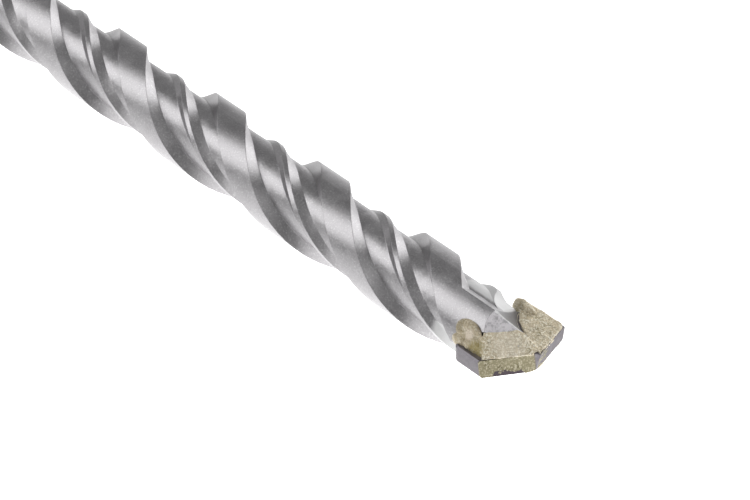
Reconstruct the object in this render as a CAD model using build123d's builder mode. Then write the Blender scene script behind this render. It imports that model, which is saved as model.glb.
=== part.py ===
from build123d import *
from math import acos, cos, degrees, radians, sin, sqrt
import os

os.makedirs("parts", exist_ok=True)

# Masonry drill bit with an SDS-plus shank and a cross plate of carbide brazed into its head.
# All sizes are in millimetres and all angles in degrees.
# +X runs from the shank's rear face to the tip, +Y to one wing of the plate and +Z square to the plate's faces.
# The origin is on the bit's axis at the shank's rear face.
# Places in the head are given as a distance behind the point, which stands at x = overall_length.

# Whole bit
overall_length = 160.0
tip_diameter = 12.0

# Shank
shank_diameter = 10.0
shank_length = 40.0
shank_end_chamfer = 1.0
groove_turn = 45.0

# Drive slots, two, open to the rear
slot_width = 3.0
slot_depth = 1.5
slot_length = 32.0

# Locking grooves, two, closed at both ends, a quarter turn from the drive slots
ball_diameter = 7.0
groove_depth = 1.65
groove_start = 10.0
groove_end = 30.0

# Fluted body: a right-hand helix with two wide lands and two low ones
body_diameter = 9.9
neck_end = 50.0
lead = 39.7
low_land_diameter = 8.34
front_floor_diameter = 7.26
rear_floor_diameter = 6.98
runout_radius = 25.0

# Section of the flutes, as angles about the axis in the plane of the point
land_start = 30.5
land_end = 80.3
rear_floor_start = 89.0
rear_floor_end = 120.0
low_land_start = 138.0
low_land_end = 147.0
front_floor_start = 158.0
front_floor_end = 199.0

# Carbide plate
plate_thickness = 2.0
plate_length = 7.6
plate_corner_radius = 1.2
plate_edge_chamfer = 0.2
point_angle = 130.0
relief_angle = 9.0

# Braze between plate and slot
braze_gap = 0.1

# Head: in front of the front flutes' end the lands keep their full width, between two flank faces.
# Four pairs of ground faces shape the two prongs. Each is turned by its roll about the axis, leans towards the
# tip by its lean, and lies at its depth from the point. It is straight for its length and then leaves the steel
# in a concave arc with its run-out radius.
wide_land_length = 11.7
flute_end_length = 6.0
flank_roll = 56.0
flank_depth = 2.92
flank_length = 6.2
flank_runout = 5.4
gullet_roll = 42.2
gullet_lean = 3.7
gullet_depth = 1.5
gullet_length = 4.3
gullet_runout = 5.4
nose_roll = 111.5
nose_lean = 37.7
nose_depth = 0.64
web_roll = 24.6
web_lean = 26.7
web_depth = -0.1

# Braze lumps: one on a wide land beside a wing of the plate, one behind the other wing
land_lump_size = (4.1, 2.6, 0.9)
land_lump_back = 6.6
land_lump_roll = 152.0
wing_lump_size = (3.1, 2.0, 1.5)
wing_lump_back = 8.4
wing_lump_side = 4.9
wing_lump_height = 0.7

# How far the cutting tools reach past the steel
cutter_clearance = 1.0
low_land_overlap = 8.0

# Worked out
clear_diameter = body_diameter + 2 * cutter_clearance
slot_floor_x = overall_length - plate_length - braze_gap
seat_thickness = plate_thickness + 2 * braze_gap
tool_reach = tip_diameter
both_sides = [Location((0, 0, 0), (turn, 0, 0)) for turn in (0, 180)]


def polar(diameter, angle):
    """Point of a section at this diameter and angle."""
    return (diameter / 2 * cos(radians(angle)), diameter / 2 * sin(radians(angle)))


def arc(diameter, start, end):
    """Round stretch of a section about the axis."""
    return CenterArc((0, 0), diameter / 2, start, end - start)


def outward(inner, outer):
    """Where the line from inner through outer leaves the clear circle round the body."""
    span = sqrt((outer[0] - inner[0]) ** 2 + (outer[1] - inner[1]) ** 2)
    step = ((outer[0] - inner[0]) / span, (outer[1] - inner[1]) / span)
    along = outer[0] * step[0] + outer[1] * step[1]
    square = (clear_diameter / 2) ** 2 - outer[0] ** 2 - outer[1] ** 2
    reach = sqrt(along**2 + square) - along
    return (outer[0] + reach * step[0], outer[1] + reach * step[1])


def face_plane(roll, lean):
    """Plane at the point: its X runs along a ground face towards the tip, its Y is the face's normal."""
    outwards = (cos(radians(roll)), sin(radians(roll)))
    along = (cos(radians(lean)), -sin(radians(lean)) * outwards[0], -sin(radians(lean)) * outwards[1])
    return Plane(origin=(overall_length, 0, 0), x_dir=along, z_dir=(0, -outwards[1], outwards[0]))


def grinding_block(roll, lean, depth, length, runout):
    """Material that one ground face takes away, with a quarter-round run-out at its rear."""
    with BuildPart() as block:
        with BuildSketch(face_plane(roll, lean)):
            with BuildLine():
                Line((tool_reach, depth), (-length, depth))
                CenterArc((-length, depth + runout), runout, 270, -90)
                Polyline(
                    (-length - runout, depth + runout),
                    (tool_reach, depth + runout),
                    (tool_reach, depth),
                )
            make_face()
        extrude(amount=tool_reach, both=True)
    return block.part


# Round core that the flutes climb at the neck, in a concave arc
with BuildPart() as flute_ramp:
    ramp_rise = (clear_diameter - rear_floor_diameter) / 2
    ramp_angle = degrees(acos(1 - ramp_rise / runout_radius))
    ramp_foot_x = neck_end + runout_radius * sin(radians(ramp_angle))
    ramp_rear_x = neck_end - 2 * cutter_clearance
    ramp_top = clear_diameter / 2 + cutter_clearance
    ramp_centre = (ramp_foot_x, rear_floor_diameter / 2 + runout_radius)
    with BuildSketch(Plane.XZ):
        with BuildLine():
            CenterArc(ramp_centre, runout_radius, 270 - ramp_angle, ramp_angle)
            Polyline(
                (ramp_foot_x, rear_floor_diameter / 2),
                (ramp_foot_x, 0),
                (ramp_rear_x, 0),
                (ramp_rear_x, ramp_top),
                (neck_end, ramp_top),
                (neck_end, clear_diameter / 2),
            )
        make_face()
    revolve(axis=Axis.X)


def flute_tool(section):
    """Cutter for one flute: its section in the plane of the point, swept along the helix from the neck."""
    start_x = neck_end - cutter_clearance
    end_x = overall_length - flute_end_length
    with BuildPart() as tool:
        with BuildLine() as tool_axis:
            Line((start_x, 0, 0), (end_x, 0, 0))
        with BuildLine() as tool_helix:
            Helix(lead, end_x - start_x, body_diameter / 2, center=(start_x, 0, 0), direction=(1, 0, 0))
        with BuildSketch(Plane.YZ.offset(start_x)):
            with Locations(Location((0, 0, 0), (0, 0, 360 * (start_x - overall_length) / lead))):
                add(section)
        sweep(path=tool_axis.wire(), binormal=tool_helix.edge())
        add(flute_ramp.part, mode=Mode.SUBTRACT)
    return tool


# Section of the rear flute: behind a wide land, down to the deep floor and up past the low land
with BuildSketch() as rear_flute:
    with BuildLine():
        land_side = outward(polar(rear_floor_diameter, rear_floor_start), polar(body_diameter, land_end))
        low_foot = polar(rear_floor_diameter, rear_floor_end)
        low_side = outward(low_foot, polar(low_land_diameter, low_land_start))
        Line(land_side, polar(rear_floor_diameter, rear_floor_start))
        arc(rear_floor_diameter, rear_floor_start, rear_floor_end)
        Line(low_foot, low_side)
        ThreePointArc(low_side, polar(clear_diameter, (rear_floor_start + rear_floor_end) / 2), land_side)
    make_face()

# Section of the front flute: over the low land, down to the shallow floor and up to the next wide land
with BuildSketch() as front_flute:
    with BuildLine():
        first_angle = low_land_start - low_land_overlap
        next_land = land_start + 180
        land_foot = polar(front_floor_diameter, front_floor_end)
        land_side = outward(land_foot, polar(body_diameter, next_land))
        Line(polar(clear_diameter, first_angle), polar(low_land_diameter, first_angle))
        arc(low_land_diameter, first_angle, low_land_end)
        Line(polar(low_land_diameter, low_land_end), polar(front_floor_diameter, front_floor_start))
        arc(front_floor_diameter, front_floor_start, front_floor_end)
        Line(land_foot, land_side)
        ThreePointArc(land_side, polar(clear_diameter, front_floor_start), polar(clear_diameter, first_angle))
    make_face()

rear_tool = flute_tool(rear_flute.sketch)
front_tool = flute_tool(front_flute.sketch)

# The front flutes stop at the slab between the flank faces, where the lands keep their full width
with BuildPart() as front_cut:
    add(front_tool.part)
    with BuildSketch(face_plane(flank_roll, 0)):
        with Locations((tool_reach - (tool_reach + wide_land_length) / 2, 0)):
            Rectangle(tool_reach + wide_land_length, 2 * flank_depth)
    extrude(amount=tool_reach, both=True, mode=Mode.SUBTRACT)

# Path of a locking ball along its groove
with BuildPart() as groove_tool:
    ball_radius = ball_diameter / 2
    with BuildSketch(Plane.XZ):
        with BuildLine():
            CenterArc((groove_start + ball_radius, 0), ball_radius, 90, 90)
            Line((groove_start, 0), (groove_end, 0))
            CenterArc((groove_end - ball_radius, 0), ball_radius, 0, 90)
            Line((groove_end - ball_radius, ball_radius), (groove_start + ball_radius, ball_radius))
        make_face()
    revolve(axis=Axis.X)

# Bar before its slot is cut: shank, neck, flutes and the ground faces of the head
with BuildPart() as bar:
    with BuildSketch(Plane.XZ):
        with BuildLine():
            Polyline(
                (0, 0),
                (0, shank_diameter / 2 - shank_end_chamfer),
                (shank_end_chamfer, shank_diameter / 2),
                (shank_length, shank_diameter / 2),
                (shank_length, body_diameter / 2),
                (overall_length, body_diameter / 2),
                (overall_length, 0),
                close=True,
            )
        make_face()
    revolve(axis=Axis.X)
    # Drive slots and locking grooves
    for turn in (groove_turn, groove_turn + 180):
        slot_plane = Plane(origin=(0, 0, 0), x_dir=(1, 0, 0), z_dir=(0, *polar(2, turn)))
        with BuildSketch(slot_plane.offset(shank_diameter / 2 - slot_depth)):
            with Locations(((slot_length - slot_width / 2) / 2, 0)):
                Rectangle(slot_length - slot_width / 2, slot_width)
            with Locations((slot_length - slot_width / 2, 0)):
                Circle(slot_width / 2)
        extrude(amount=2 * slot_depth, mode=Mode.SUBTRACT)
        with Locations((0, *polar(shank_diameter - 2 * groove_depth + ball_diameter, turn + 90))):
            add(groove_tool.part, mode=Mode.SUBTRACT)
    # Flutes
    with Locations(*both_sides):
        add(rear_tool.part, mode=Mode.SUBTRACT)
        add(front_cut.part, mode=Mode.SUBTRACT)
    # Ground faces
    for block in (
        grinding_block(flank_roll, 0, flank_depth, flank_length, flank_runout),
        grinding_block(gullet_roll, gullet_lean, gullet_depth, gullet_length, gullet_runout),
        grinding_block(nose_roll, nose_lean, nose_depth, tool_reach, tool_reach),
        grinding_block(web_roll, web_lean, web_depth, tool_reach, tool_reach),
    ):
        with Locations(*both_sides):
            add(block, mode=Mode.SUBTRACT)

# Steel body: the slot for the plate parts the head into two prongs
with BuildPart() as steel_body:
    add(bar.part)
    with BuildSketch(Plane.YZ.offset(slot_floor_x)):
        Rectangle(2 * tip_diameter, seat_thickness)
    extrude(amount=tool_reach, mode=Mode.SUBTRACT)

# Ground relief in front of one wing's cutting edge
with BuildPart() as point_grind:
    half_point = radians(point_angle / 2)
    relief = radians(relief_angle)
    relief_normal = (sin(half_point) * cos(relief), cos(half_point) * cos(relief), -sin(relief))
    with BuildSketch(Plane(origin=(overall_length, 0, 0), z_dir=relief_normal)):
        Rectangle(4 * tool_reach, 4 * tool_reach)
    extrude(amount=tool_reach)

# Carbide plate
with BuildPart() as carbide_tip:
    with BuildSketch(Plane.XY.offset(-plate_thickness / 2)):
        with Locations((overall_length - plate_length / 2, 0)):
            Rectangle(plate_length, tip_diameter)
    extrude(amount=plate_thickness)
    fillet(carbide_tip.edges().filter_by(Axis.Z).group_by(Axis.X)[0], plate_corner_radius)
    chamfer(carbide_tip.faces().filter_by(Axis.Z).edges(), plate_edge_chamfer)
    with Locations(*both_sides):
        add(point_grind.part, mode=Mode.SUBTRACT)

# Braze lumps, as they froze beside the slot
with BuildPart() as land_lump:
    Sphere(0.5)
    scale(by=land_lump_size)
with BuildPart() as wing_lump:
    Sphere(0.5)
    scale(by=wing_lump_size)

# Braze: the film between slot and plate, flush with the head, and the two lumps
with BuildPart() as braze:
    add(bar.part)
    with BuildSketch(Plane.YZ.offset(slot_floor_x)):
        Rectangle(2 * tip_diameter, seat_thickness)
    extrude(amount=tool_reach, mode=Mode.INTERSECT)
    land_lump_centre = (overall_length - land_lump_back, *polar(body_diameter, land_lump_roll))
    with Locations(Location(land_lump_centre, (land_lump_roll - 90, 0, 0))):
        add(land_lump.part)
    with Locations((overall_length - wing_lump_back, wing_lump_side, wing_lump_height)):
        add(wing_lump.part)
    with Locations(*both_sides):
        add(point_grind.part, mode=Mode.SUBTRACT)
    add(steel_body.part, mode=Mode.SUBTRACT)
    add(carbide_tip.part, mode=Mode.SUBTRACT)

steel_body.part.label = "steel_body"
carbide_tip.part.label = "carbide_tip"
braze.part.label = "braze"

export_step(steel_body.part, "parts/steel_body.step")
export_step(carbide_tip.part, "parts/carbide_tip.step")
export_step(braze.part, "parts/braze.step")

for piece in (steel_body, carbide_tip, braze):
    print(piece.part.label, piece.part.is_valid, round(piece.part.volume, 3), len(piece.part.solids()))
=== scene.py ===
from math import cos, pi, radians, sin

import bmesh
import bpy
from mathutils import Matrix, Vector


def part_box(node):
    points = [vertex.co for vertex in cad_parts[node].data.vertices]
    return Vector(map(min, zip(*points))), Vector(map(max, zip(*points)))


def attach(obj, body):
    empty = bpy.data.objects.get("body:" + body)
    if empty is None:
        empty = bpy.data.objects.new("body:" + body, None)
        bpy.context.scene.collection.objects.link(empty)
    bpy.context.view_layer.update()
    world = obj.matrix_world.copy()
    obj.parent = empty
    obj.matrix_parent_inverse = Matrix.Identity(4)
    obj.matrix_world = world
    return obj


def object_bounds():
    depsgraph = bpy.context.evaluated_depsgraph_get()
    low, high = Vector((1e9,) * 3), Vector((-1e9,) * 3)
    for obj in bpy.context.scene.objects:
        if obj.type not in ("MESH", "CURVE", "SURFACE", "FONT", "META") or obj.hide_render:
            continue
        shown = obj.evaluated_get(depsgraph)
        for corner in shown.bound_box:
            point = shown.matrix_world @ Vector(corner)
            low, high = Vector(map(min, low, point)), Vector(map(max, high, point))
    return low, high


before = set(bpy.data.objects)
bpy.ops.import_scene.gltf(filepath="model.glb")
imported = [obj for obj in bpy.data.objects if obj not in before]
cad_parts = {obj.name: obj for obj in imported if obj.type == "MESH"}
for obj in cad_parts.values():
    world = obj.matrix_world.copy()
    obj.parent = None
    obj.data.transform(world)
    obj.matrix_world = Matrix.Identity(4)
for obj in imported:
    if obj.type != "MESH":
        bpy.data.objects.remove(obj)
cad_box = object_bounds()

# The bit's frame, in metres: +X to the tip, +Z square to the plate's broad faces and up
MM = 0.001
TIP = Vector((cad_box[1].x, 0, 0))
TIP_DIAMETER = cad_box[1].y - cad_box[0].y
FLOOR_Z = cad_box[0].z
PLATE_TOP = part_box("carbide_tip")[1].z / MM
LEAD = 3.308 * TIP_DIAMETER
SHANK_END = 45 * MM

# Ground faces of the head, as in the CAD: roll about the axis, lean towards the tip and depth in mm.
# The gullet's rear limit runs back by CREASE_SLANT mm for each mm across.
NOSE_ROLL, NOSE_LEAN, NOSE_DEPTH = 111.5, 37.7, 0.64
FLANK_ROLL = 56.0
GULLET_ROLL, GULLET_LEAN, GULLET_DEPTH = 42.2, 3.7, 1.5
CREASE_SLANT = 0.48
POINT_ANGLE, RELIEF_ANGLE = 130.0, 9.0

# Camera, at the photograph's place: its angles, its distance in tip diameters and its focal length in pixels
ELEVATION = radians(32.17)
HEADING = radians(38.04)
CAMERA_DISTANCE = 39.54 * TIP_DIAMETER
FOCAL_PIXELS = 4378
IMAGE_WIDTH = 750
IMAGE_HEIGHT = 500
POINT_PIXEL = (538.24, 362.46)
SENSOR_WIDTH = 36.0

# Light: a white light table, brightest under the bit, dim surroundings and three soft round panels.
# A panel is its direction from the bit's middle, its diameter in metres and its radiance.
TABLE_GLOW = 0.74
TABLE_HOT_SPOT = 2.1
HOT_SPOT_REACH = 8 * MM
SURROUNDINGS = 0.32
PANEL_DISTANCE = 0.7
LEFT_PANEL = (Vector((-0.667, -0.508, 0.545)), 0.54, 2.3)
FAR_PANEL = (Vector((-0.11, 0.93, 0.37)), 0.66, 2.2)
FRONT_PANEL = (Vector((0.65, 0.0, 0.76)), 0.46, 1.5)

# Braze that ran out of the slot, in mm behind the point: outlines on the plate's top and on the nose face
PAD_OUTLINE = (
    (-9.3, 4.4), (-9.0, 5.5), (-6.2, 5.8), (-2.95, 5.8), (-2.4, 5.4), (-0.95, 2.4),
    (-0.1, 0.3), (-2.2, 0.3), (-4.0, 1.4), (-6.4, 2.5), (-7.7, 3.8),
)
PAD_THICKNESS = 0.22
PAD_ROOT = 0.3
HIDDEN_PAD_SHARE = 0.85
NOSE_COAT = (
    (-4.6, -3.95, 3.05), (-3.7, -2.3, 2.95), (-2.9, -0.7, 2.98), (-2.2, -0.1, 2.65),
    (-0.3, -0.35, 0.95), (-2.85, -5.6, 1.1), (-4.0, -4.5, 2.4),
)
COAT_THICKNESS = 0.07
COAT_ROOT = 0.4
FILLET = ((-2.45, -0.25, 2.55), (-0.55, -0.45, 0.95), (-0.5, 0.6, 1.1), (-1.9, 1.0, 1.1))
FILLET_THICKNESS = 0.10
FILLET_ROOT = 0.5
# Lumps: centre in mm behind the point, and half sizes along, across and out of the surface
LAND_LUMPS = (
    ((-7.0, -4.4, 2.0), (1.5, 1.2, 0.5)),
    ((-5.9, -4.3, 2.3), (1.2, 1.0, 0.5)),
    ((-5.1, -4.8, 1.5), (1.2, 1.1, 0.5)),
    ((-4.3, -4.5, 2.0), (0.9, 0.9, 0.35)),
    ((-3.9, -4.9, 1.3), (0.9, 0.7, 0.4)),
    ((-7.3, -5.0, 1.1), (1.2, 0.8, 0.5)),
    ((-6.6, -4.2, 2.9), (0.6, 0.6, 0.4)),
    ((-5.7, -5.2, 1.5), (0.6, 0.5, 0.35)),
    ((-7.5, -4.6, 2.0), (0.6, 0.5, 0.4)),
)
WING_LUMPS = (
    ((-8.4, 4.95, 0.75), (1.6, 0.95, 0.7)),
    ((-7.4, 4.7, 0.95), (1.4, 1.0, 0.5)),
)
BRAZE_VOXEL = 0.075
# Spots of another tone: place in mm behind the point, reach in mm, share and colour
BRAZE_SPOTS = (
    ((-6.6, -4.7, 1.9), 3.2, 0.5, (0.38, 0.31, 0.20, 1)),
    ((-4.4, -4.9, 1.3), 1.5, 0.65, (0.30, 0.24, 0.06, 1)),
    ((-7.9, -4.2, 2.2), 1.1, 0.7, (0.20, 0.16, 0.08, 1)),
    ((-5.2, -3.6, 3.3), 0.9, 0.7, (0.18, 0.13, 0.09, 1)),
    ((-6.0, -4.6, 2.3), 0.9, 0.6, (0.95, 0.84, 0.72, 1)),
    ((-8.6, 4.6, 1.2), 1.4, 0.5, (0.30, 0.26, 0.17, 1)),
    ((-2.3, -2.4, 1.9), 2.6, 0.4, (1.0, 0.92, 0.78, 1)),
)


# Base colours
STEEL_DARK, STEEL_PALE = (0.345, 0.335, 0.345, 1), (0.39, 0.38, 0.39, 1)
# The gullet colour is painted shade, so that the gullet faces look dark
STEEL_NOSE, STEEL_GULLET_SHADE = (0.78, 0.755, 0.78, 1), (0.19, 0.185, 0.195, 1)
CARBIDE_DARK, CARBIDE_PALE = (0.165, 0.152, 0.168, 1), (0.24, 0.225, 0.24, 1)
CARBIDE_SPECKLE = (0.36, 0.345, 0.36, 1)
CARBIDE_BARE_LEFT, CARBIDE_BARE_RIGHT = (0.07, 0.055, 0.065, 1), (0.10, 0.085, 0.10, 1)
BRAZE_TONES = (0.36, 0.30, 0.165, 1), (0.70, 0.605, 0.43, 1), (1.0, 0.95, 0.80, 1)
BRAZE_DULL_TONES = (0.13, 0.115, 0.06, 1), (0.25, 0.225, 0.14, 1), (0.44, 0.405, 0.30, 1)
# Painted shade for the braze's pits and painted highlight for its ridges
BRAZE_PIT_SHADE, BRAZE_RIDGE_HIGHLIGHT = (0.17, 0.13, 0.08, 1), (1.0, 0.95, 0.82, 1)


def add_camera():
    """Camera that sees the bit's point at its pixel in the photograph."""
    right = Vector((sin(HEADING), cos(HEADING), 0))
    back = Vector((cos(ELEVATION) * cos(HEADING), -cos(ELEVATION) * sin(HEADING), sin(ELEVATION)))
    up = back.cross(right)
    to_right = (POINT_PIXEL[0] - IMAGE_WIDTH / 2) / FOCAL_PIXELS * CAMERA_DISTANCE
    to_up = (IMAGE_HEIGHT / 2 - POINT_PIXEL[1]) / FOCAL_PIXELS * CAMERA_DISTANCE
    data = bpy.data.cameras.new("camera")
    data.sensor_width = SENSOR_WIDTH
    data.lens = FOCAL_PIXELS * SENSOR_WIDTH / IMAGE_WIDTH
    camera = bpy.data.objects.new("camera", data)
    camera.matrix_world = Matrix((right, up, back)).transposed().to_4x4()
    camera.location = TIP + back * CAMERA_DISTANCE - right * to_right - up * to_up
    bpy.context.scene.collection.objects.link(camera)
    bpy.context.scene.camera = camera


class Nodes:
    """A material's node tree, with short calls for the nodes that the finishes share."""

    def __init__(self, name):
        self.material = bpy.data.materials.new(name)
        self.material.use_nodes = True
        self.tree = self.material.node_tree
        self.shader = self.tree.nodes["Principled BSDF"]
        self.position = self.tree.nodes.new("ShaderNodeTexCoord").outputs["Object"]

    def link(self, value, socket):
        if isinstance(value, (int, float, tuple)):
            socket.default_value = value
        else:
            self.tree.links.new(value, socket)

    def math(self, operation, *values):
        node = self.tree.nodes.new("ShaderNodeMath")
        node.operation = operation
        for value, socket in zip(values, node.inputs):
            self.link(value, socket)
        return node.outputs[0]

    def product(self, *values):
        """Product of two or more values."""
        result = values[0]
        for value in values[1:]:
            result = self.math("MULTIPLY", result, value)
        return result

    def difference(self, first, second):
        return self.math("SUBTRACT", first, second)

    def in_mm(self, value):
        return self.math("DIVIDE", value, MM)

    def axes(self):
        """Position along each axis."""
        node = self.tree.nodes.new("ShaderNodeSeparateXYZ")
        self.link(self.position, node.inputs[0])
        return node.outputs[0], node.outputs[1], node.outputs[2]

    def combine(self, x, y, z):
        node = self.tree.nodes.new("ShaderNodeCombineXYZ")
        for value, socket in zip((x, y, z), node.inputs):
            self.link(value, socket)
        return node.outputs[0]

    def along(self, direction, offset=0.0):
        """How far the surface lies along a direction."""
        node = self.tree.nodes.new("ShaderNodeVectorMath")
        node.operation = "DOT_PRODUCT"
        self.link(self.position, node.inputs[0])
        node.inputs[1].default_value = direction
        return self.math("SUBTRACT", node.outputs["Value"], offset)

    def untwisted(self, stretch):
        """Position with the helix turned straight, so that a flute runs along X, and stretched along it."""
        x = self.axes()[0]
        node = self.tree.nodes.new("ShaderNodeVectorRotate")
        node.rotation_type = "X_AXIS"
        self.link(self.position, node.inputs["Vector"])
        self.link(self.product(self.difference(x, TIP.x), -2 * pi / LEAD), node.inputs["Angle"])
        scale = self.tree.nodes.new("ShaderNodeVectorMath")
        scale.operation = "MULTIPLY"
        self.link(node.outputs[0], scale.inputs[0])
        scale.inputs[1].default_value = (1 / stretch, 1, 1)
        return scale.outputs[0]

    def noise(self, size, detail=2.0, vector=None, rough=0.5):
        """Noise between 0 and 1 with grains of about this size in mm."""
        node = self.tree.nodes.new("ShaderNodeTexNoise")
        self.link(vector or self.position, node.inputs["Vector"])
        node.inputs["Scale"].default_value = 1 / (size * MM)
        node.inputs["Detail"].default_value = detail
        node.inputs["Roughness"].default_value = rough
        return node.outputs["Fac"]

    def span(self, value, low, high, to_low=0.0, to_high=1.0):
        """Carries low..high over to another range, smoothly and without passing its ends."""
        node = self.tree.nodes.new("ShaderNodeMapRange")
        node.interpolation_type = "SMOOTHSTEP"
        for item, socket in zip((value, low, high, to_low, to_high), node.inputs):
            self.link(item, socket)
        return node.outputs[0]

    def near(self, place, reach):
        """1 at a place given in mm behind the point, falling to 0 at a reach in mm."""
        node = self.tree.nodes.new("ShaderNodeVectorMath")
        node.operation = "DISTANCE"
        self.link(self.position, node.inputs[0])
        node.inputs[1].default_value = at_tip(*place)
        return self.span(node.outputs["Value"], reach * MM, 0.4 * reach * MM)

    def pointiness(self):
        """Below 0.5 in the mesh's pits and above it on its ridges."""
        return self.tree.nodes.new("ShaderNodeNewGeometry").outputs["Pointiness"]

    def hollow(self, reach):
        """1 on open surface, falling to 0 in an inner corner; the steel uses it to paint shade there."""
        node = self.tree.nodes.new("ShaderNodeAmbientOcclusion")
        node.samples = 8
        node.only_local = True
        node.inputs["Distance"].default_value = reach * MM
        return node.outputs["AO"]

    def mix(self, share, first, second):
        """Colour between two others."""
        node = self.tree.nodes.new("ShaderNodeMix")
        node.data_type = "RGBA"
        self.link(share, node.inputs[0])
        self.link(first, node.inputs[6])
        self.link(second, node.inputs[7])
        return node.outputs[2]

    def bump(self, *layers, rounding=0.0):
        """Stacks layers of relief, each a height with its depth in mm, on edges rounded in mm."""
        normal = None
        if rounding:
            node = self.tree.nodes.new("ShaderNodeBevel")
            node.samples = 6
            node.inputs["Radius"].default_value = rounding * MM
            normal = node.outputs[0]
        for height, depth in layers:
            node = self.tree.nodes.new("ShaderNodeBump")
            node.inputs["Strength"].default_value = 1
            node.inputs["Distance"].default_value = depth * MM
            self.link(height, node.inputs["Height"])
            if normal:
                self.link(normal, node.inputs["Normal"])
            normal = node.outputs[0]
        self.link(normal, self.shader.inputs["Normal"])


def grey(value):
    return (value, value, value, 1)


def ground_normal(roll, lean):
    """Normal of one of the head's ground faces."""
    return Vector((
        sin(radians(lean)),
        cos(radians(lean)) * cos(radians(roll)),
        cos(radians(lean)) * sin(radians(roll)),
    ))


def over_face(nodes, normal, x):
    """Height along a ground face's normal, the same for both prongs."""
    across = nodes.math("ABSOLUTE", nodes.along((0, normal.y, normal.z)))
    return nodes.math("ADD", across, nodes.product(nodes.difference(x, TIP.x), normal.x))


def off_face(nodes, height, depth):
    """Distance in mm from a ground face that lies at a depth in mm."""
    return nodes.in_mm(nodes.math("ABSOLUTE", nodes.difference(height, depth * MM)))


def steel_regions(nodes, x, y, z):
    """Masks of the head, shank, nose faces, gullets (painted dark as shade), the painted highlight along the
    nose's crease and the flank side.
    """
    back = nodes.in_mm(nodes.difference(TIP.x, x))
    on_head = nodes.span(back, 14.0, 12.0)
    on_shank = nodes.span(x, SHANK_END, SHANK_END - MM)

    over_nose = over_face(nodes, ground_normal(NOSE_ROLL, NOSE_LEAN), x)
    on_nose = nodes.span(off_face(nodes, over_nose, NOSE_DEPTH), 0.08, 0.03)
    on_nose = nodes.product(on_nose, nodes.span(back, 6.0, 5.6))

    # The gullet's rear limit runs across the head at a slant
    gullet = ground_normal(GULLET_ROLL, GULLET_LEAN)
    slanted = nodes.in_mm(nodes.product(y, nodes.math("SIGN", z), CREASE_SLANT))
    behind_crease = nodes.difference(back, slanted)
    out_of_web = nodes.in_mm(nodes.math("ABSOLUTE", nodes.along(tuple(gullet))))
    # Painted shade: the gullet faces, which are painted dark and turned almost non-metallic so they reflect
    # little of the light table
    painted_gullet_shade = nodes.product(
        nodes.span(behind_crease, 6.25, 6.05),
        nodes.span(out_of_web, 1.2, 1.4),
        nodes.span(nodes.in_mm(over_nose), 0.6, 0.5),
    )
    from_gullet = off_face(nodes, over_face(nodes, gullet, x), GULLET_DEPTH)
    # Painted highlight: a pale line where the nose face meets the gullet face
    painted_crease_highlight = nodes.product(on_nose, nodes.span(from_gullet, 0.17, 0.07))

    slope = nodes.math("DIVIDE", y, z)
    on_flank = nodes.product(nodes.span(back, 13.8, 13.0), nodes.span(slope, 0.0, 0.12))
    on_flank = nodes.product(on_flank, nodes.difference(1.0, painted_gullet_shade))
    return on_head, on_shank, on_nose, painted_gullet_shade, painted_crease_highlight, on_flank


def steel_material():
    """Satin milled steel: grain, drag lines along the flutes and grinding marks and tones on the head, with
    painted shade in inner corners and on the gullets and a painted highlight on the nose's crease.
    """
    nodes = Nodes("steel")
    x, y, z = nodes.axes()
    on_head, on_shank, on_nose, painted_gullet_shade, painted_crease_highlight, on_flank = steel_regions(nodes, x, y, z)

    grain = nodes.noise(0.19, 3.0, rough=0.65)
    patches = nodes.noise(1.7, 3.0)
    coarse = nodes.noise(0.55, 4.0, rough=0.7)
    drag = nodes.noise(0.14, 2.0, nodes.untwisted(30))
    rings = nodes.noise(0.18, 2.0, nodes.combine(x, 0.0, 0.0))
    roll = radians(FLANK_ROLL)
    slant = tuple(Vector((1, -sin(roll), cos(roll))).normalized())
    crosswise = tuple(Vector((1, sin(roll), -cos(roll))).normalized())
    streaks = nodes.combine(nodes.along(crosswise), nodes.product(nodes.along(slant), 0.03), 0.0)
    marks = nodes.noise(0.16, 2.0, streaks)

    tone = nodes.mix(nodes.span(patches, 0.3, 0.7), STEEL_DARK, STEEL_PALE)
    tone = nodes.mix(nodes.span(grain, 0.5, 0.72, 0, 0.75), tone, grey(0.58))
    tone = nodes.mix(nodes.span(grain, 0.45, 0.28, 0, 0.55), tone, grey(0.24))
    tone = nodes.mix(nodes.product(on_flank, 0.85), tone, grey(0.74))
    tone = nodes.mix(nodes.product(on_nose, nodes.span(coarse, 0.34, 0.56, 0.3, 1)), tone, STEEL_NOSE)
    # Painted highlight: the nose's crease is painted near white
    tone = nodes.mix(nodes.product(painted_crease_highlight, 0.85), tone, grey(0.95))
    # Painted shade: the gullets are painted dark, and below their metal is turned down so they stay dark
    tone = nodes.mix(nodes.product(painted_gullet_shade, 0.9), tone, STEEL_GULLET_SHADE)
    # Painted shade: inner corners, such as the feet of the flute walls, are darkened towards near black
    tone = nodes.mix(nodes.span(nodes.hollow(0.9), 0.85, 0.45, 0, 0.8), tone, grey(0.10))
    nodes.link(tone, nodes.shader.inputs["Base Color"])
    nodes.link(nodes.difference(1.0, nodes.product(painted_gullet_shade, 0.9)), nodes.shader.inputs["Metallic"])
    broad_gloss = nodes.span(patches, 0.25, 0.75, 0.33, 0.40)
    gloss = nodes.math("ADD", broad_gloss, nodes.span(grain, 0.3, 0.7, -0.04, 0.05))
    dulled = nodes.math("MAXIMUM", nodes.product(on_nose, 0.16), nodes.product(on_flank, 0.32))
    nodes.link(nodes.math("ADD", gloss, dulled), nodes.shader.inputs["Roughness"])

    fluted = nodes.difference(1.0, nodes.math("MAXIMUM", on_shank, on_head))
    nodes.bump(
        (nodes.product(coarse, on_nose), 0.18),
        (nodes.product(drag, fluted), 0.008),
        (nodes.product(rings, on_shank), 0.006),
        (nodes.product(marks, on_head), 0.012),
        (grain, 0.018),
        rounding=0.1,
    )
    return nodes.material


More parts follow.
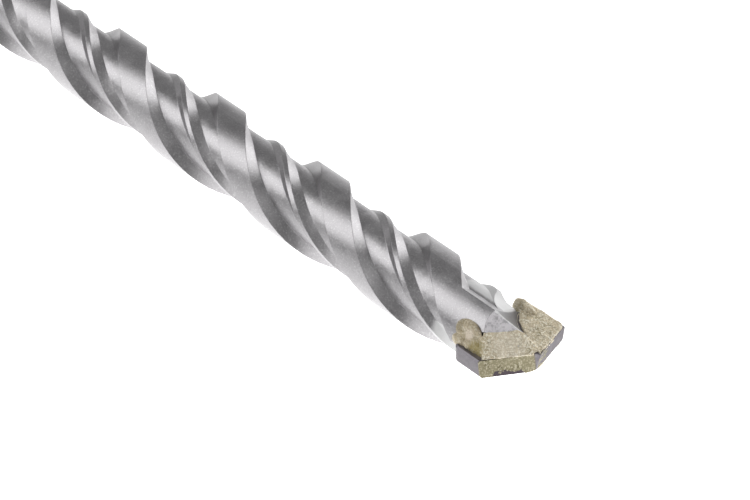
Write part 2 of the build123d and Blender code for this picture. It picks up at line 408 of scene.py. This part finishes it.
def carbide_material():
    """Ground cemented carbide, with braze on the left clearance face and smears on the right one."""
    nodes = Nodes("carbide")
    x, y, z = nodes.axes()
    sideways = nodes.in_mm(y)
    speckle = nodes.noise(0.09, 3.0, rough=0.65)
    patches = nodes.noise(0.8, 3.0)
    ground = nodes.noise(0.12, 2.0, nodes.combine(x, nodes.product(y, 0.05), nodes.product(z, 0.05)))

    half_point, clearance = radians(POINT_ANGLE / 2), radians(RELIEF_ANGLE)
    relief = Vector((sin(half_point) * cos(clearance), -cos(half_point) * cos(clearance), sin(clearance)))
    other_relief = Vector((relief.x, -relief.y, -relief.z))
    from_left = nodes.in_mm(nodes.along(tuple(relief), relief.x * TIP.x))
    from_right = nodes.in_mm(nodes.along(tuple(other_relief), relief.x * TIP.x))
    on_left = nodes.product(nodes.span(from_left, -0.12, -0.03), nodes.span(sideways, -0.15, -0.45))
    on_right = nodes.product(nodes.span(from_right, -0.12, -0.03), nodes.span(sideways, 0.05, 0.25))

    # The left face is covered down to a ragged line, which rises over one bare patch
    ragged = nodes.math("ADD", nodes.in_mm(z), nodes.span(nodes.noise(0.7, 3.0), 0.3, 0.7, -0.22, 0.22))
    from_patch = nodes.math("ABSOLUTE", nodes.math("ADD", sideways, 3.1))
    bare_height = nodes.span(from_patch, 1.3, 1.9, -0.55, -1.6)
    coated = nodes.product(on_left, nodes.span(nodes.difference(ragged, bare_height), -0.05, 0.06))
    # The right face has smears that thin out away from the chisel edge
    smear = nodes.math(
        "ADD", nodes.span(nodes.noise(0.6, 3.0), 0.35, 0.65), nodes.span(y, 0.0, 3.6 * MM, 0.2, -0.7),
    )
    smeared = nodes.product(on_right, nodes.span(smear, 0.45, 0.55))
    covered = nodes.math("MAXIMUM", coated, smeared)

    tone = nodes.mix(nodes.span(patches, 0.3, 0.7), CARBIDE_DARK, CARBIDE_PALE)
    tone = nodes.mix(nodes.span(speckle, 0.5, 0.8, 0, 0.5), tone, CARBIDE_SPECKLE)
    tone = nodes.mix(on_left, tone, CARBIDE_BARE_LEFT)
    tone = nodes.mix(nodes.product(on_right, 0.75), tone, CARBIDE_BARE_RIGHT)
    tone = nodes.mix(covered, tone, braze_tone(nodes, dull=True))
    nodes.link(tone, nodes.shader.inputs["Base Color"])
    nodes.shader.inputs["Metallic"].default_value = 0.7
    gloss = nodes.span(patches, 0.25, 0.75, 0.36, 0.5)
    nodes.link(nodes.math("ADD", gloss, nodes.product(covered, 0.08)), nodes.shader.inputs["Roughness"])
    crust = nodes.noise(0.2, 3.0, rough=0.6)
    nodes.bump(
        (nodes.product(covered, nodes.math("ADD", crust, 0.6)), 0.05),
        (ground, 0.004),
        (speckle, 0.006),
    )
    return nodes.material


def braze_tone(nodes, dull=False):
    """Mottled brass, from olive to cream, with painted shade in pits, painted highlights on ridges and spots
    unless it is dull.
    """
    broad = nodes.noise(0.9, 4.0, rough=0.6)
    fine = nodes.noise(0.22, 3.0, rough=0.7)
    low, middle, high = BRAZE_DULL_TONES if dull else BRAZE_TONES
    tone = nodes.mix(nodes.span(broad, 0.3, 0.55), low, middle)
    tone = nodes.mix(nodes.span(fine, 0.48, 0.62), tone, high)
    if dull:
        return tone
    # Painted shade in the crust's pits and painted highlights on its ridges
    tone = nodes.mix(nodes.span(nodes.pointiness(), 0.49, 0.44, 0, 0.7), tone, BRAZE_PIT_SHADE)
    tone = nodes.mix(nodes.span(nodes.pointiness(), 0.52, 0.58, 0, 0.7), tone, BRAZE_RIDGE_HIGHLIGHT)
    for place, reach, share, colour in BRAZE_SPOTS:
        tone = nodes.mix(nodes.product(nodes.near(place, reach), share), tone, colour)
    return tone


def braze_material():
    """Brass braze, as it froze: grainy, mottled and half dull."""
    nodes = Nodes("braze")
    nodes.link(braze_tone(nodes), nodes.shader.inputs["Base Color"])
    nodes.shader.inputs["Metallic"].default_value = 0.45
    nodes.link(nodes.span(nodes.noise(0.5, 2.0), 0.3, 0.7, 0.38, 0.56), nodes.shader.inputs["Roughness"])
    nodes.bump((nodes.noise(0.24, 3.0, rough=0.65), 0.24), (nodes.noise(0.1, 2.0), 0.02))
    return nodes.material


def dress(node, material):
    """Gives a CAD node its material."""
    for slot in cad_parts[node].material_slots:
        slot.material = material


def at_tip(x, y, z):
    """Place given in mm from the point."""
    return TIP + Vector((x, y, z)) * MM


def add_prism(shell, corners, up, down):
    """Adds a plate to a mesh: an outline carried up and down from its own plane."""
    lower = [shell.verts.new(corner + down) for corner in corners]
    upper = [shell.verts.new(corner + up) for corner in corners]
    shell.faces.new(upper)
    shell.faces.new(list(reversed(lower)))
    for i in range(len(corners)):
        j = (i + 1) % len(corners)
        shell.faces.new((lower[i], lower[j], upper[j], upper[i]))


def add_ball(shell, centre, half_sizes, out):
    """Adds a flattened ball to a mesh, thin along the given outward direction."""
    sideways = out.cross(Vector((1, 0, 0))).normalized()
    turn = Matrix((Vector((1, 0, 0)), sideways, out)).transposed().to_4x4()
    place = Matrix.Translation(centre) @ turn @ Matrix.Diagonal((*(size * MM for size in half_sizes), 1))
    bmesh.ops.create_icosphere(shell, subdivisions=4, radius=1, matrix=place)


def add_braze_crust(material):
    """Braze that ran over the plate, the nose faces and the lands and froze there in one grainy crust."""
    shell = bmesh.new()
    half_turn = Matrix.Rotation(pi, 4, "X")
    up = Vector((0, 0, 1))
    nose = ground_normal(NOSE_ROLL, NOSE_LEAN)
    pad = [at_tip(x, y, PLATE_TOP) for x, y in PAD_OUTLINE]
    coat = [at_tip(*corner) for corner in NOSE_COAT]
    coat = [corner - nose * ((corner - TIP).dot(nose) - NOSE_DEPTH * MM) for corner in coat]
    inner = pad[2:10]
    centre = sum(inner, Vector()) / len(inner)
    hidden_pad = [centre + (corner - centre) * HIDDEN_PAD_SHARE for corner in inner]
    fillet = [at_tip(*corner) for corner in FILLET]
    slant = Vector((0.5, 0.6, 0.6)).normalized()
    for turn, spread in ((Matrix.Identity(4), pad), (half_turn, hidden_pad)):
        for outline, out, thickness, root in (
            (spread, up, PAD_THICKNESS, PAD_ROOT),
            (coat, nose, COAT_THICKNESS, COAT_ROOT),
            (fillet, slant, FILLET_THICKNESS, FILLET_ROOT),
        ):
            corners = [turn @ corner for corner in outline]
            add_prism(shell, corners, turn @ (out * thickness * MM), turn @ (out * -root * MM))
    for centre, half_sizes in LAND_LUMPS + WING_LUMPS:
        out = Vector((0, centre[1], centre[2])).normalized()
        add_ball(shell, at_tip(*centre), half_sizes, out)
    bmesh.ops.recalc_face_normals(shell, faces=shell.faces)
    mesh = bpy.data.meshes.new("braze_crust")
    shell.to_mesh(mesh)
    shell.free()
    crust = bpy.data.objects.new("braze_crust", mesh)
    bpy.context.scene.collection.objects.link(crust)
    mesh.materials.append(material)

    remesh = crust.modifiers.new("remesh", "REMESH")
    remesh.mode = "VOXEL"
    remesh.voxel_size = BRAZE_VOXEL * MM
    remesh.use_smooth_shade = True
    smooth = crust.modifiers.new("smooth", "SMOOTH")
    smooth.iterations = 4
    smooth.factor = 0.5
    for name, size, depth in (("waves", 1.0, 0.2), ("grains", 0.3, 0.07)):
        texture = bpy.data.textures.new(name, "CLOUDS")
        texture.noise_scale = size * MM
        texture.noise_depth = 2
        relief = crust.modifiers.new(name, "DISPLACE")
        relief.texture = texture
        relief.texture_coords = "LOCAL"
        relief.strength = depth * MM
        relief.mid_level = 0.5
    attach(crust, "root")


def add_floor():
    half = 100 * TIP_DIAMETER
    mesh = bpy.data.meshes.new("floor")
    mesh.from_pydata(
        [(-half, -half, FLOOR_Z), (half, -half, FLOOR_Z), (half, half, FLOOR_Z), (-half, half, FLOOR_Z)],
        [],
        [(0, 1, 2, 3)],
    )
    floor = bpy.data.objects.new("floor", mesh)
    bpy.context.scene.collection.objects.link(floor)
    nodes = Nodes("floor")
    nodes.shader.inputs["Base Color"].default_value = (0.5, 0.5, 0.5, 1)
    nodes.shader.inputs["Roughness"].default_value = 0.9
    nodes.shader.inputs["Emission Color"].default_value = (1, 1, 1, 1)
    from_axis = nodes.math("ABSOLUTE", nodes.axes()[1])
    fading = nodes.math("EXPONENT", nodes.math("DIVIDE", from_axis, -HOT_SPOT_REACH))
    glow = nodes.product(nodes.math("ADD", nodes.product(fading, TABLE_HOT_SPOT), 1.0), TABLE_GLOW)
    nodes.link(glow, nodes.shader.inputs["Emission Strength"])
    mesh.materials.append(nodes.material)


def add_panel(name, direction, diameter, radiance):
    """Soft round panel that faces the bit's middle."""
    middle = (cad_box[0] + cad_box[1]) / 2
    data = bpy.data.lights.new(name, "AREA")
    data.shape = "DISK"
    data.size = diameter
    data.energy = radiance * pi * pi * diameter**2 / 4
    lamp = bpy.data.objects.new(name, data)
    lamp.location = middle + direction.normalized() * PANEL_DISTANCE
    lamp.rotation_mode = "QUATERNION"
    lamp.rotation_quaternion = direction.to_track_quat("Z", "Y")
    lamp.visible_camera = False
    bpy.context.scene.collection.objects.link(lamp)


def add_surroundings():
    world = bpy.data.worlds.new("surroundings")
    world.use_nodes = True
    background = world.node_tree.nodes["Background"]
    background.inputs["Color"].default_value = (1, 1, 1, 1)
    background.inputs["Strength"].default_value = SURROUNDINGS
    bpy.context.scene.world = world


add_camera()
add_surroundings()
add_floor()
add_panel("left_panel", *LEFT_PANEL)
add_panel("far_panel", *FAR_PANEL)
add_panel("front_panel", *FRONT_PANEL)
braze = braze_material()
dress("steel_body", steel_material())
dress("carbide_tip", carbide_material())
dress("braze", braze)
add_braze_crust(braze)

bpy.context.scene.view_settings.view_transform = "Standard"
